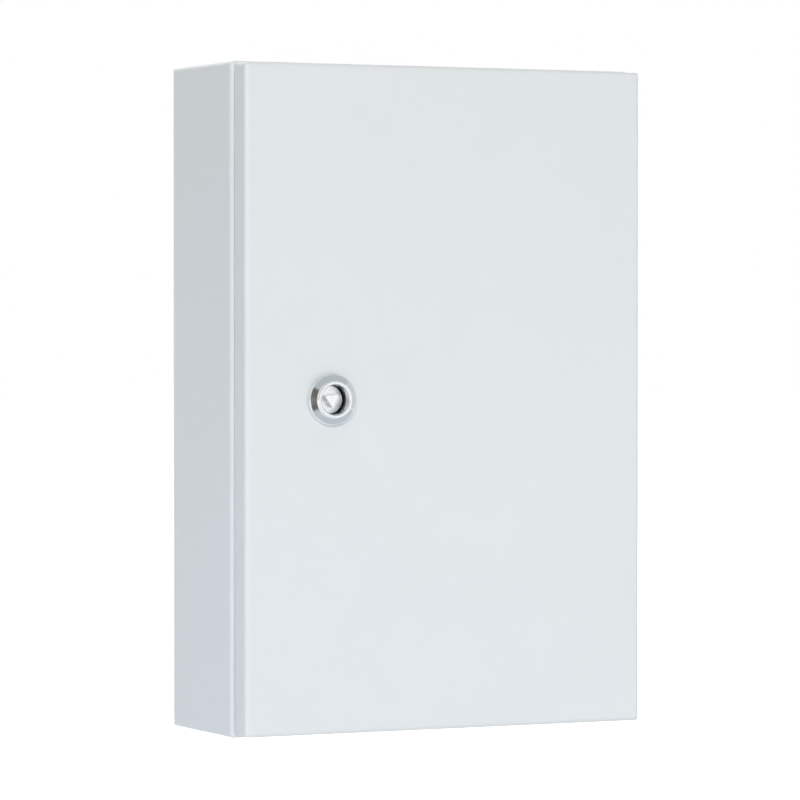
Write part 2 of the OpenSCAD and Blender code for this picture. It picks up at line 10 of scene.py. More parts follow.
import bmesh
import bpy
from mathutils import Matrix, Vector

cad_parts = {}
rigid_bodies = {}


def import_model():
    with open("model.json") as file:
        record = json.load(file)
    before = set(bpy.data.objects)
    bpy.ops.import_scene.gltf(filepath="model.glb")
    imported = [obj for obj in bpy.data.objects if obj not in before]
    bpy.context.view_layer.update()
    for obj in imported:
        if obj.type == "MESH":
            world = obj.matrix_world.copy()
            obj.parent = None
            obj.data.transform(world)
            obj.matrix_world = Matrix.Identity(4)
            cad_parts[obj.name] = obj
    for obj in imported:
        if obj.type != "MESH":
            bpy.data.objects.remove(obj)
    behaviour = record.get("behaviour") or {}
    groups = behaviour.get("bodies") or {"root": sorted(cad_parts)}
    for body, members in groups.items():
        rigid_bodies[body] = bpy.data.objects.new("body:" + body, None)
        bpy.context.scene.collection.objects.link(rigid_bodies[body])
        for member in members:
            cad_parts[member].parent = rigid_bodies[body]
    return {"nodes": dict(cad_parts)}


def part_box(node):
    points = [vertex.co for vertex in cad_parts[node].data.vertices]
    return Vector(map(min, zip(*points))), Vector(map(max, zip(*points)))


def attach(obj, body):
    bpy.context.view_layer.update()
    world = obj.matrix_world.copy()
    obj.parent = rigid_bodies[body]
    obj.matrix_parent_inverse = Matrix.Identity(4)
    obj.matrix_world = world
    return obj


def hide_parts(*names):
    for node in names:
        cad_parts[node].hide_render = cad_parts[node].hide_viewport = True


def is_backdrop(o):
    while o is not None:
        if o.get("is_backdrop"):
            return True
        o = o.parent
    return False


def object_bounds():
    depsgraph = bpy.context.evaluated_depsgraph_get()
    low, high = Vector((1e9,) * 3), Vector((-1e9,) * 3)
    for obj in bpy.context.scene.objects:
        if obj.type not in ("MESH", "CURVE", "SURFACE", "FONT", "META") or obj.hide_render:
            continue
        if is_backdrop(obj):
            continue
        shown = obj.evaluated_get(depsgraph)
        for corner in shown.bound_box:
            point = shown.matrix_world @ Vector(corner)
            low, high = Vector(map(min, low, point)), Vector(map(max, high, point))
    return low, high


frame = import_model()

LOG = logging.getLogger("enclosure")
MM = 0.001
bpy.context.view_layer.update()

Colour = tuple[float, float, float]

WHITE: Colour = (1.0, 1.0, 1.0)
WAVE_RADIANS = 20.0  # what Blender's wave texture turns through per unit of length
VALUE_LOW, VALUE_HIGH = 0.3, 0.7  # most values of a pattern lie between these
WELD_DISTANCE = 1e-7  # points nearer than this become one, in metres
SHARP_DEGREES = 40.0  # an edge that turns by more than this stays sharp
QUARTER_TURN = 90.0  # in degrees
SHEET_CORNERS = ((-1, -1), (1, -1), (1, 1), (-1, 1))  # of a flat sheet, in half sides


class Body(Enum):
    """The rigid bodies that new pieces ride on."""

    ENCLOSURE = "enclosure"
    DOOR = "door"


class Slot(Enum):
    """The record's material slots."""

    BODY_PAINT = "body_paint"
    DOOR_PAINT = "door_paint"
    LOCK_CHROME = "lock_chrome"
    ZINC_PLATE = "zinc_plate"
    GALVANISED_SHEET = "galvanised_sheet"
    GASKET_FOAM = "gasket_foam"
    COPPER_FLASH = "copper_flash"
    BRASS = "brass"


class Axis(Enum):
    """Directions along which a fastener may point."""

    FRONT = (0.0, -1.0, 0.0)
    BACK = (0.0, 1.0, 0.0)
    UP = (0.0, 0.0, 1.0)


# ---------------------------------------------------------------- finishes


def mixed_colour(
    nodes: bpy.types.Nodes,
    links: bpy.types.NodeLinks,
    share: bpy.types.NodeSocket,
    first: Colour,
    second: Colour,
) -> bpy.types.NodeSocket:
    """Mixes two colours by a value.

    Args:
        nodes: Nodes of the tree.
        links: Links of the tree.
        share: Socket that gives the share of the second colour.
        first: Colour at 0.
        second: Colour at 1.

    Returns:
        The socket that gives the mixed colour.
    """
    mix = nodes.new("ShaderNodeMix")
    mix.data_type = "RGBA"
    sockets = {socket.identifier: socket for socket in (*mix.inputs, *mix.outputs)}
    sockets["A_Color"].default_value = (*first, 1.0)
    sockets["B_Color"].default_value = (*second, 1.0)
    links.new(share, sockets["Factor_Float"])
    return sockets["Result_Color"]


class ShaderGraph:
    """A material's node tree, with short calls to add and join nodes."""

    def __init__(self, name: str) -> None:
        """Starts an empty material.

        Args:
            name: Name of the material.
        """
        self.material = bpy.data.materials.new(name)
        self.material.use_nodes = True
        self.nodes = self.material.node_tree.nodes
        self.links = self.material.node_tree.links
        self.nodes.clear()
        self.surface = self.add("ShaderNodeBsdfPrincipled")
        output = self.add("ShaderNodeOutputMaterial")
        self.join(self.surface, "BSDF", output, "Surface")

    def add(self, kind: str, **values: object) -> bpy.types.Node:
        """Adds a node.

        Args:
            kind: Blender's name for the kind of node.
            **values: Settings of the node, such as its operation.

        Returns:
            The new node.
        """
        node = self.nodes.new(kind)
        for key, value in values.items():
            setattr(node, key, value)
        return node

    def join(
        self, source: bpy.types.Node, out: str | int, target: bpy.types.Node, into: str | int
    ) -> None:
        """Links one node's output to another node's input.

        Args:
            source: Node that gives the value.
            out: Name or number of its output.
            target: Node that takes the value.
            into: Name or number of its input.
        """
        self.links.new(source.outputs[out], target.inputs[into])

    def set(self, **values: object) -> None:
        """Sets constant values on the surface shader's own sockets.

        Args:
            **values: Socket names, with underscores for spaces.
        """
        for key, value in values.items():
            self.surface.inputs[key.replace("_", " ")].default_value = value

    def place(self) -> bpy.types.Node:
        """Adds the object's own coordinates, in metres."""
        return self.add("ShaderNodeTexCoord")

    def pattern(self, kind: str, size_mm: float) -> bpy.types.Node:
        """Adds a texture whose marks are about size_mm across.

        Args:
            kind: Blender's name for the kind of texture.
            size_mm: Size of a mark, in millimetres.

        Returns:
            The texture node.
        """
        texture = self.add(kind)
        texture.inputs["Scale"].default_value = 1.0 / (size_mm * MM)
        self.join(self.place(), "Object", texture, "Vector")
        return texture

    def noise(self, size_mm: float, detail: float = 2.0) -> bpy.types.Node:
        """Adds a noise whose spots are about size_mm across.

        Args:
            size_mm: Size of a spot, in millimetres.
            detail: Octaves of finer noise.

        Returns:
            The noise node.
        """
        texture = self.pattern("ShaderNodeTexNoise", size_mm)
        texture.inputs["Detail"].default_value = detail
        return texture

    def cells(self, size_mm: float) -> bpy.types.Node:
        """Adds a pattern of cells that are about size_mm across.

        Args:
            size_mm: Size of a cell, in millimetres.

        Returns:
            The cell node.
        """
        return self.pattern("ShaderNodeTexVoronoi", size_mm)

    def rings(
        self, pitch_mm: float, centre: Vector, waver: float = 0.8, detail: float = 1.0
    ) -> bpy.types.Node:
        """Adds rings round an axis that runs front to back, as a lathe tool leaves them.

        Args:
            pitch_mm: Distance from one ring to the next, in millimetres.
            centre: Any point on the axis, in the piece's own frame.
            waver: How far the rings stray from true circles.
            detail: Octaves of finer waver.

        Returns:
            The wave node.
        """
        mapping = self.add("ShaderNodeMapping")
        mapping.inputs["Location"].default_value = -centre
        texture = self.add("ShaderNodeTexWave", wave_type="RINGS", rings_direction="Y")
        texture.inputs["Scale"].default_value = math.tau / (WAVE_RADIANS * pitch_mm * MM)
        texture.inputs["Distortion"].default_value = waver
        texture.inputs["Detail"].default_value = detail
        self.join(self.place(), "Object", mapping, "Vector")
        self.join(mapping, "Vector", texture, "Vector")
        return texture

    def spread(
        self, source: bpy.types.Node, out: str | int, low: float = 0.0, high: float = 1.0
    ) -> bpy.types.Node:
        """Maps a pattern's value onto the range low to high.

        Args:
            source: Node that gives the value.
            out: Name or number of its output.
            low: Result for VALUE_LOW and below.
            high: Result for VALUE_HIGH and above.

        Returns:
            The mapping node.
        """
        node = self.add("ShaderNodeMapRange")
        limits = {"From Min": VALUE_LOW, "From Max": VALUE_HIGH, "To Min": low, "To Max": high}
        for key, value in limits.items():
            node.inputs[key].default_value = value
        self.join(source, out, node, "Value")
        return node

    def roughen(self, source: bpy.types.Node, out: str | int, low: float, high: float) -> None:
        """Lets a pattern's value set how rough the surface is.

        Args:
            source: Node that gives the value.
            out: Name or number of its output.
            low: Roughness for VALUE_LOW and below.
            high: Roughness for VALUE_HIGH and above.
        """
        self.join(self.spread(source, out, low, high), 0, self.surface, "Roughness")

    def blend(
        self, factor: bpy.types.Node, out: str | int, first: Colour, second: Colour
    ) -> bpy.types.NodeSocket:
        """Mixes two colours by a value.

        Args:
            factor: Node that gives the share of the second colour.
            out: Name or number of its output.
            first: Colour at 0.
            second: Colour at 1.

        Returns:
            The socket that gives the mixed colour.
        """
        return mixed_colour(self.nodes, self.links, factor.outputs[out], first, second)

    def colour(self, mixed: bpy.types.NodeSocket, into: str = "Base Color") -> None:
        """Joins a mixed colour to the surface.

        Args:
            mixed: Socket that gives the colour.
            into: Socket of the surface that takes it.
        """
        self.links.new(mixed, self.surface.inputs[into])

    def relief(self, source: bpy.types.Node, out: str | int, depth_mm: float) -> None:
        """Adds a bump that follows a value, on top of any earlier one.

        Args:
            source: Node that gives the height.
            out: Name or number of its output.
            depth_mm: Height between 0 and 1, in millimetres.
        """
        bump = self.add("ShaderNodeBump")
        bump.inputs["Strength"].default_value = 1.0
        bump.inputs["Distance"].default_value = depth_mm * MM
        self.join(source, out, bump, "Height")
        earlier = self.surface.inputs["Normal"].links
        if earlier:
            self.links.new(earlier[0].from_socket, bump.inputs["Normal"])
        self.join(bump, "Normal", self.surface, "Normal")


def seen_rays(nodes: bpy.types.Nodes, links: bpy.types.NodeLinks) -> bpy.types.NodeSocket:
    """Adds a value that is 1 for what the camera sees straight, mirrored or through glass.

    Args:
        nodes: Nodes of the tree.
        links: Links of the tree.

    Returns:
        The socket that gives the value.
    """
    path = nodes.new("ShaderNodeLightPath")
    seen = path.outputs["Is Camera Ray"]
    for ray in ("Is Glossy Ray", "Is Transmission Ray"):
        either = nodes.new("ShaderNodeMath")
        either.operation = "MAXIMUM"
        links.new(seen, either.inputs[0])
        links.new(path.outputs[ray], either.inputs[1])
        seen = either.outputs[0]
    return seen


def shaded(colour: Colour, share: float) -> Colour:
    """Makes a colour darker or lighter.

    Args:
        colour: Colour to start from.
        share: Factor for each of its parts.

    Returns:
        The new colour.
    """
    return tuple(part * share for part in colour)


@dataclass(frozen=True)
class PowderCoat:
    """Light grey baked powder coat with a fine orange-peel texture."""

    name: str
    colour: Colour = (0.742, 0.774, 0.770)
    drift: float = 0.004
    cloud_mm: float = 38.0
    grain_mm: float = 0.9
    grain_depth_mm: float = 0.012
    peel_mm: float = 2.4
    peel_depth_mm: float = 0.022
    rough_low: float = 0.34
    rough_high: float = 0.44

    def material(self) -> bpy.types.Material:
        """Makes the material."""
        graph = ShaderGraph(self.name)
        graph.set(IOR=1.5, Specular_IOR_Level=0.45)
        pigment = graph.spread(graph.noise(self.cloud_mm), 0)
        light, dark = shaded(self.colour, 1 + self.drift), shaded(self.colour, 1 - self.drift)
        graph.colour(graph.blend(pigment, 0, dark, light))
        grain = graph.noise(self.grain_mm, detail=3.0)
        graph.roughen(grain, 0, self.rough_low, self.rough_high)
        graph.relief(graph.noise(self.peel_mm, detail=1.0), 0, self.peel_depth_mm)
        graph.relief(grain, 0, self.grain_depth_mm)
        return graph.material


@dataclass(frozen=True)
class SatinChrome:
    """Chromium plate over die-cast zinc, polished to a satin."""

    name: str
    colour: Colour = (0.80, 0.815, 0.83)
    rough_low: float = 0.10
    rough_high: float = 0.15
    haze_mm: float = 1.1
    haze_share: float = 0.95
    ripple_mm: float = 2.4
    ripple_depth_mm: float = 0.002

    def material(self) -> bpy.types.Material:
        """Makes the material."""
        graph = ShaderGraph(self.name)
        graph.set(Metallic=1.0)
        haze = graph.noise(self.haze_mm, detail=3.0)
        graph.roughen(haze, 0, self.rough_low, self.rough_high)
        graph.colour(graph.blend(haze, 0, shaded(self.colour, self.haze_share), self.colour))
        graph.relief(graph.noise(self.ripple_mm, detail=1.0), 0, self.ripple_depth_mm)
        return graph.material


@dataclass(frozen=True)
class TurnedFace:
    """Satin metal with the fine rings that turning leaves."""

    name: str
    centre: Vector
    colour: Colour = (0.87, 0.88, 0.89)
    rough_low: float = 0.22
    rough_high: float = 0.32
    haze_mm: float = 1.1
    pitch_mm: float = 0.6
    depth_mm: float = 0.012
    groove_share: float = 0.86

    def material(self) -> bpy.types.Material:
        """Makes the material."""
        graph = ShaderGraph(self.name)
        graph.set(Metallic=1.0)
        rings = graph.rings(self.pitch_mm, self.centre)
        haze = graph.noise(self.haze_mm, detail=3.0)
        graph.roughen(haze, 0, self.rough_low, self.rough_high)
        graph.colour(graph.blend(rings, 1, shaded(self.colour, self.groove_share), self.colour))
        graph.relief(rings, 1, self.depth_mm)
        return graph.material


@dataclass(frozen=True)
class PlatedSteel:
    """Plated or plain metal with fine drawing marks and a light stain."""

    name: str
    colour: Colour
    stain: Colour
    rough_low: float = 0.24
    rough_high: float = 0.42
    mark_mm: float = 0.35
    mark_depth_mm: float = 0.004
    stain_mm: float = 5.0

    def material(self) -> bpy.types.Material:
        """Makes the material."""
        graph = ShaderGraph(self.name)
        graph.set(Metallic=1.0)
        stain = graph.spread(graph.noise(self.stain_mm, detail=3.0), 0)
        graph.colour(graph.blend(stain, 0, self.colour, self.stain))
        marks = graph.noise(self.mark_mm)
        graph.roughen(marks, 0, self.rough_low, self.rough_high)
        graph.relief(marks, 0, self.mark_depth_mm)
        return graph.material


@dataclass(frozen=True)
class GalvanisedSheet:
    """Hot-dip galvanised sheet, with crystals that shine differently."""

    name: str
    colour: Colour = (0.57, 0.595, 0.615)
    dark_share: float = 0.86
    light_share: float = 1.12
    spangle_mm: float = 7.0
    spangle_depth_mm: float = 0.004
    pit_mm: float = 1.4
    pit_depth_mm: float = 0.006
    rough_low: float = 0.36
    rough_high: float = 0.56

    def material(self) -> bpy.types.Material:
        """Makes the material."""
        graph = ShaderGraph(self.name)
        graph.set(Metallic=1.0)
        spangle = graph.cells(self.spangle_mm)
        grey = graph.add("ShaderNodeRGBToBW")
        graph.join(spangle, "Color", grey, "Color")
        dark, light = shaded(self.colour, self.dark_share), shaded(self.colour, self.light_share)
        graph.colour(graph.blend(grey, 0, dark, light))
        graph.roughen(grey, 0, self.rough_low, self.rough_high)
        graph.relief(graph.noise(self.pit_mm, detail=3.0), 0, self.pit_depth_mm)
        graph.relief(grey, 0, self.spangle_depth_mm)
        return graph.material


@dataclass(frozen=True)
class FoamSkin:
    """Foamed-in-place gasket: matt, nearly black, with a pitted skin."""

    name: str
    colour: Colour = (0.035, 0.036, 0.039)
    dust_mm: float = 7.0
    dust_share: float = 1.6
    pore_mm: float = 0.7
    pore_depth_mm: float = 0.06
    rough_middle: float = 0.95
    rough_edge: float = 0.78

    def material(self) -> bpy.types.Material:
        """Makes the material."""
        graph = ShaderGraph(self.name)
        graph.set(Specular_IOR_Level=0.3)
        dust = graph.spread(graph.noise(self.dust_mm, detail=3.0), 0)
        graph.colour(graph.blend(dust, 0, self.colour, shaded(self.colour, self.dust_share)))
        pores = graph.cells(self.pore_mm)
        graph.roughen(pores, "Distance", self.rough_middle, self.rough_edge)
        graph.relief(pores, "Distance", self.pore_depth_mm)
        return graph.material


@dataclass(frozen=True)
class StudioPaper:
    """Seamless pale floor that keeps a faint shadow, and is clear from below."""

    name: str
    colour: Colour = (0.93, 0.93, 0.93)
    lift: float = 0.72
    fibre_mm: float = 30.0
    fibre_share: float = 0.99

    def material(self) -> bpy.types.Material:
        """Makes the material."""
        graph = ShaderGraph(self.name)
        graph.set(Roughness=0.9, Specular_IOR_Level=0.1, Emission_Color=(*WHITE, 1.0))
        seen = seen_rays(graph.nodes, graph.links)
        glow = graph.add("ShaderNodeMath", operation="MULTIPLY")
        glow.inputs[1].default_value = self.lift
        graph.links.new(seen, glow.inputs[0])
        graph.join(glow, 0, graph.surface, "Emission Strength")
        fibre = graph.noise(self.fibre_mm)
        graph.colour(graph.blend(fibre, 0, shaded(self.colour, self.fibre_share), self.colour))
        above = graph.add("ShaderNodeMath", operation="SUBTRACT")
        above.inputs[0].default_value = 1.0
        graph.join(graph.add("ShaderNodeNewGeometry"), "Backfacing", above, 1)
        graph.join(above, 0, graph.surface, "Alpha")
        return graph.material


@dataclass(frozen=True)
class StudioCard:
    """Card that polished metal mirrors, evenly lit to one level of grey."""

    name: str
    tone: Colour
    mottle: float = 0.02
    fibre_mm: float = 40.0

    def material(self) -> bpy.types.Material:
        """Makes the material."""
        graph = ShaderGraph(self.name)
        graph.set(Base_Color=(0.0, 0.0, 0.0, 1.0), Roughness=1.0, Specular_IOR_Level=0.0)
        graph.set(Emission_Strength=1.0)
        fibre = graph.noise(self.fibre_mm, detail=1.0)
        dark, light = shaded(self.tone, 1 - self.mottle), shaded(self.tone, 1 + self.mottle)
        graph.colour(graph.blend(fibre, 0, dark, light), "Emission Color")
        return graph.material


@dataclass
class Finishes:
    """One material for each of the record's slots."""

    materials: dict[Slot, bpy.types.Material] = field(default_factory=dict)

    def build(self) -> None:
        """Makes every material once."""
        finishes = {
            Slot.BODY_PAINT: PowderCoat("body_powder_coat"),
            Slot.DOOR_PAINT: PowderCoat("door_powder_coat"),
            Slot.LOCK_CHROME: SatinChrome("satin_chrome"),
            Slot.ZINC_PLATE: PlatedSteel("zinc_plate", (0.62, 0.65, 0.69), (0.54, 0.57, 0.60)),
            Slot.GALVANISED_SHEET: GalvanisedSheet("galvanised_sheet"),
            Slot.GASKET_FOAM: FoamSkin("gasket_foam"),
            Slot.COPPER_FLASH: PlatedSteel("copper_flash", (0.74, 0.42, 0.27), (0.60, 0.36, 0.25)),
            Slot.BRASS: PlatedSteel("plain_brass", (0.76, 0.58, 0.27), (0.66, 0.50, 0.25)),
        }
        self.materials = {slot: finish.material() for slot, finish in finishes.items()}

    def turn_core(self) -> None:
        """Gives the lock's core a turned satin face, duller than the polished head."""
        mesh = frame["nodes"]["lock_core"].data
        corners = [vertex.co for vertex in mesh.vertices]
        middle = [(min(axis) + max(axis)) / 2 for axis in zip(*corners)]
        mesh.materials.clear()
        mesh.materials.append(TurnedFace("turned_core", Vector(middle)).material())

    def dress(self, node: str, slot: Slot) -> None:
        """Gives a CAD node its finish.

        Args:
            node: Name of the node.
            slot: Material slot of the finish.
        """
        obj = frame["nodes"][node]
        obj.data.materials.clear()
        obj.data.materials.append(self.materials[slot])
        LOG.info("%s wears %s", node, slot.value)

    def finish_piece(self, piece: bpy.types.Object, slot: Slot, body: Body) -> None:
        """Gives a new piece its finish and the body that it rides on.

        Args:
            piece: The new object.
            slot: Material slot of the finish.
            body: Body that carries the piece.
        """
        piece.data.materials.append(self.materials[slot])
        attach(piece, body.value)
        LOG.info("%s rides on %s, in %s", piece.name, body.value, slot.value)


# ---------------------------------------------------------------- mesh helpers


def mesh_object(
    name: str, points: Sequence[Vector], faces: Iterable[Sequence[int]], smooth: bool
) -> bpy.types.Object:
    """Makes an object from points and faces.

    Args:
        name: Name of the piece.
        points: Its points, in metres.
        faces: Indices of each face's points.
        smooth: Whether its faces are shaded as one curved surface.

    Returns:
        The new object.
    """
    mesh = bpy.data.meshes.new(name)
    mesh.from_pydata([tuple(p) for p in points], [], [tuple(f) for f in faces])
    shape = bmesh.new()
    shape.from_mesh(mesh)
    bmesh.ops.remove_doubles(shape, verts=shape.verts, dist=WELD_DISTANCE)
    bmesh.ops.recalc_face_normals(shape, faces=shape.faces)
    for face in shape.faces:
        face.smooth = smooth
    shape.to_mesh(mesh)
    shape.free()
    piece = bpy.data.objects.new(name, mesh)
    bpy.context.scene.collection.objects.link(piece)
    return piece


def sharpen(piece: bpy.types.Object) -> None:
    """Keeps a smooth piece's edges sharp where its faces meet at a steep angle.

    Args:
        piece: Object with smooth faces.
    """
    shape = bmesh.new()
    shape.from_mesh(piece.data)
    for edge in shape.edges:
        if len(edge.link_faces) == 2 and edge.calc_face_angle(0.0) > math.radians(SHARP_DEGREES):
            edge.smooth = False
    shape.to_mesh(piece.data)
    shape.free()


def across(axis: Axis) -> tuple[Vector, Vector, Vector]:
    """Gives two directions square to an axis, and the axis itself.

    Args:
        axis: The direction that a fastener points in.

    Returns:
        Side, other side and axis as unit vectors.
    """
    along = Vector(axis.value)
    side = along.orthogonal().normalized()
    return side, along.cross(side), along


@dataclass(frozen=True)
class Thread:
    """A metric screw thread."""

    radius: float
    pitch: float


M4 = Thread(1.95 * MM, 0.7 * MM)
M5 = Thread(2.45 * MM, 0.8 * MM)
M6 = Thread(2.95 * MM, 1.0 * MM)


@dataclass
class Stud:
    """A threaded stud: a rolled thread over its length, with a chamfered end."""

    foot: Vector
    axis: Axis
    thread: Thread
    length: float
    sides: int = 28
    rows_per_turn: int = 6
    depth_share: float = 0.61
    flank: float = 2.4
    root: float = 0.1
    chamfer_turns: float = 1.2
    chamfer_share: float = 0.8

    def radius_at(self, height: float, turn: float) -> float:
        """Gives the distance from the stud's axis to its surface.

        Args:
            height: Distance from the foot, in metres.
            turn: Place round the axis, as a share of a full turn.

        Returns:
            The distance, in metres.
        """
        depth = self.depth_share * self.thread.pitch
        lead = min(1.0, (self.length - height) / (self.chamfer_turns * self.thread.pitch))
        phase = (height / self.thread.pitch - turn) % 1.0
        crest = min(1.0, max(0.0, self.flank * abs(phase - 0.5) - self.root))
        chamfer = depth * (1.0 - lead) * self.chamfer_share
        radius = self.thread.radius - depth * (1.0 - crest) - chamfer
        return max(radius, self.thread.radius - depth)

    def points_and_faces(self, start: int) -> tuple[list[Vector], list[tuple[int, ...]]]:
        """Works out the stud's surface.

        Args:
            start: Number of the first point in the piece that the stud joins.

        Returns:
            The points and the faces.
        """
        side, other, along = across(self.axis)
        rows = max(2, round(self.length / self.thread.pitch * self.rows_per_turn))
        points: list[Vector] = []
        for row in range(rows + 1):
            height = self.length * row / rows
            for step in range(self.sides):
                turn = step / self.sides
                angle = math.tau * turn
                outward = side * math.cos(angle) + other * math.sin(angle)
                points.append(self.foot + along * height + outward * self.radius_at(height, turn))
        faces: list[tuple[int, ...]] = []
        for row in range(rows):
            low, high = start + row * self.sides, start + (row + 1) * self.sides
            for step in range(self.sides):
                after = (step + 1) % self.sides
                faces.append((low + step, low + after, high + after, high + step))
        faces.append(tuple(start + step for step in reversed(range(self.sides))))
        faces.append(tuple(start + rows * self.sides + step for step in range(self.sides)))
        return points, faces


def corners_of(node: str, radius: float, axis: Axis) -> list[Vector]:
    """Finds the feet of four studs from the box of the node that holds them.

    Args:
        node: Name of the node.
        radius: Radius of the studs.
        axis: Direction that the studs point in.

    Returns:
        The middle of each stud's foot.
    """
    low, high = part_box(node)
    across_x = (low.x + radius, high.x - radius)
    if axis is Axis.UP:
        return [Vector((x, y, low.z)) for x in across_x for y in (low.y + radius, high.y - radius)]
    depth = high.y if axis is Axis.FRONT else low.y
    return [Vector((x, depth, z)) for x in across_x for z in (low.z + radius, high.z - radius)]


def sweep(
    name: str, path: Sequence[tuple[Vector, Vector]], section: Sequence[tuple[float, float]]
) -> bpy.types.Object:
    """Sweeps a closed section round a closed flat path.

    Args:
        name: Name of the piece.
        path: Points of the path, each with the outward direction there.
        section: Points of the section, as distances outward and towards the back.

    Returns:
        The new object.
    """
    lift = Vector(Axis.BACK.value)
    points = [spot + outward * out + lift * up for spot, outward in path for out, up in section]
    ring, count = len(section), len(path)
    faces = []
    for step in range(count):
        here, there = step * ring, (step + 1) % count * ring
        for k in range(ring):
            after = (k + 1) % ring
            faces.append((here + k, here + after, there + after, there + k))
    return mesh_object(name, points, faces, smooth=True)


def rounded_path(
    low: Vector, high: Vector, radius: float, depth: float, steps: int = 12
) -> list[tuple[Vector, Vector]]:
    """Follows a rounded rectangle in X and Z.

    Args:
        low: Lower left corner of the rectangle.
        high: Upper right corner of the rectangle.
        radius: Radius of its corners.
        depth: Y of the path.
        steps: Steps round each corner.

    Returns:
        Points of the path, each with the outward direction there.
    """
    centres = [
        (high.x - radius, high.z - radius),
        (low.x + radius, high.z - radius),
        (low.x + radius, low.z + radius),
        (high.x - radius, low.z + radius),
    ]
    path = []
    for corner, (x, z) in enumerate(centres):
        for step in range(steps + 1):
            angle = math.radians(QUARTER_TURN * corner + QUARTER_TURN * step / steps)
            outward = Vector((math.cos(angle), 0.0, math.sin(angle)))
            path.append((Vector((x, depth, z)) + outward * radius, outward))
    return path


# ---------------------------------------------------------------- sub-assemblies


def threaded_piece(
    finishes: Finishes, name: str, node: str, studs: Sequence[Stud], body: Body
) -> bpy.types.Object:
    """Joins several studs in one piece that takes a CAD node's place.

    Args:
        finishes: The finishes to choose from.
        name: Name of the piece.
        node: CAD node of the studs.
        studs: The studs.
        body: Body that carries them.

    Returns:
        The new piece.
    """
    points: list[Vector] = []
    faces: list[tuple[int, ...]] = []
    for stud in studs:
        more_points, more_faces = stud.points_and_faces(len(points))
        points += more_points
        faces += more_faces
    piece = mesh_object(name, points, faces, smooth=True)
    sharpen(piece)
    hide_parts(node)
    finishes.finish_piece(piece, Slot.COPPER_FLASH, body)
    return piece


def earth_stud(finishes: Finishes, node: str, axis: Axis, body: Body) -> bpy.types.Object:
    """Makes the threaded stand-in of a single earth stud.

    Args:
        finishes: The finishes to choose from.
        node: CAD node of the stud.
        axis: Direction that the stud points in.
        body: Body that carries it.

    Returns:
        The new piece.
    """
    low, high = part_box(node)
    middle = (low + high) / 2
    foot = Vector((middle.x, high.y if axis is Axis.FRONT else low.y, middle.z))
    stud = Stud(foot, axis, M6, high.y - low.y)
    return threaded_piece(finishes, f"threaded_{node}", node, [stud], body)


@dataclass
class Housing:
    """The folded body, its mounting plate, its gland plate and its earth stud."""

    finishes: Finishes

    def dress(self) -> None:
        """Gives the housing's CAD nodes their finishes."""
        slots = {
            "body_shell": Slot.BODY_PAINT,
            "gland_plate": Slot.BODY_PAINT,
            "gland_gasket": Slot.GASKET_FOAM,
            "gland_nuts": Slot.ZINC_PLATE,
            "mounting_plate": Slot.GALVANISED_SHEET,
            "plate_spacers": Slot.ZINC_PLATE,
            "plate_washers": Slot.ZINC_PLATE,
            "plate_nuts": Slot.ZINC_PLATE,
            "body_earth_washer": Slot.ZINC_PLATE,
            "body_earth_nut": Slot.BRASS,
        }
        for node, slot in slots.items():
            self.finishes.dress(node, slot)

    def build(self) -> list[bpy.types.Object]:
        """Makes the threaded studs that stand in the housing.

        Returns:
            The new pieces.
        """
        self.dress()
        made = []
        for node, thread, axis in (("plate_studs", M6, Axis.FRONT), ("gland_studs", M5, Axis.UP)):
            low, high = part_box(node)
            length = high.z - low.z if axis is Axis.UP else high.y - low.y
            feet = corners_of(node, thread.radius, axis)
            studs = [Stud(foot, axis, thread, length) for foot in feet]
            name = f"threaded_{node}"
            made.append(threaded_piece(self.finishes, name, node, studs, Body.ENCLOSURE))
        made.append(earth_stud(self.finishes, "body_earth_stud", Axis.FRONT, Body.ENCLOSURE))
        return made


@dataclass
class Hinges:
    """The two concealed hinges."""

    finishes: Finishes
    ends: tuple[str, str] = ("upper", "lower")

    def build(self) -> list[bpy.types.Object]:
        """Dresses the hinges and makes the studs that hold their door leaves.

        Returns:
            The new piece.
        """
        for end in self.ends:
            for part in ("hinge_body_leaf", "hinge_door_leaf", "hinge_pin"):
                self.finishes.dress(f"{part}_{end}", Slot.ZINC_PLATE)
        for node in ("hinge_rivets", "hinge_door_nuts"):
            self.finishes.dress(node, Slot.ZINC_PLATE)
        node = "hinge_door_studs"
        low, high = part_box(node)
        x, length = (low.x + high.x) / 2, high.y - low.y
        reach = high.z - M4.radius - self.leaf_middle("upper")
        spots = [self.leaf_middle(end) + way * reach for end in self.ends for way in (-1, 1)]
        studs = [Stud(Vector((x, low.y, z)), Axis.BACK, M4, length) for z in spots]
        return [threaded_piece(self.finishes, "threaded_hinge_studs", node, studs, Body.DOOR)]

    @staticmethod
    def leaf_middle(end: str) -> float:
        """Gives the height of a hinge's middle.

        Args:
            end: Which hinge, the upper or the lower.

        Returns:
            The height, in metres.
        """
        low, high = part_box(f"hinge_door_leaf_{end}")
        return (low.z + high.z) / 2


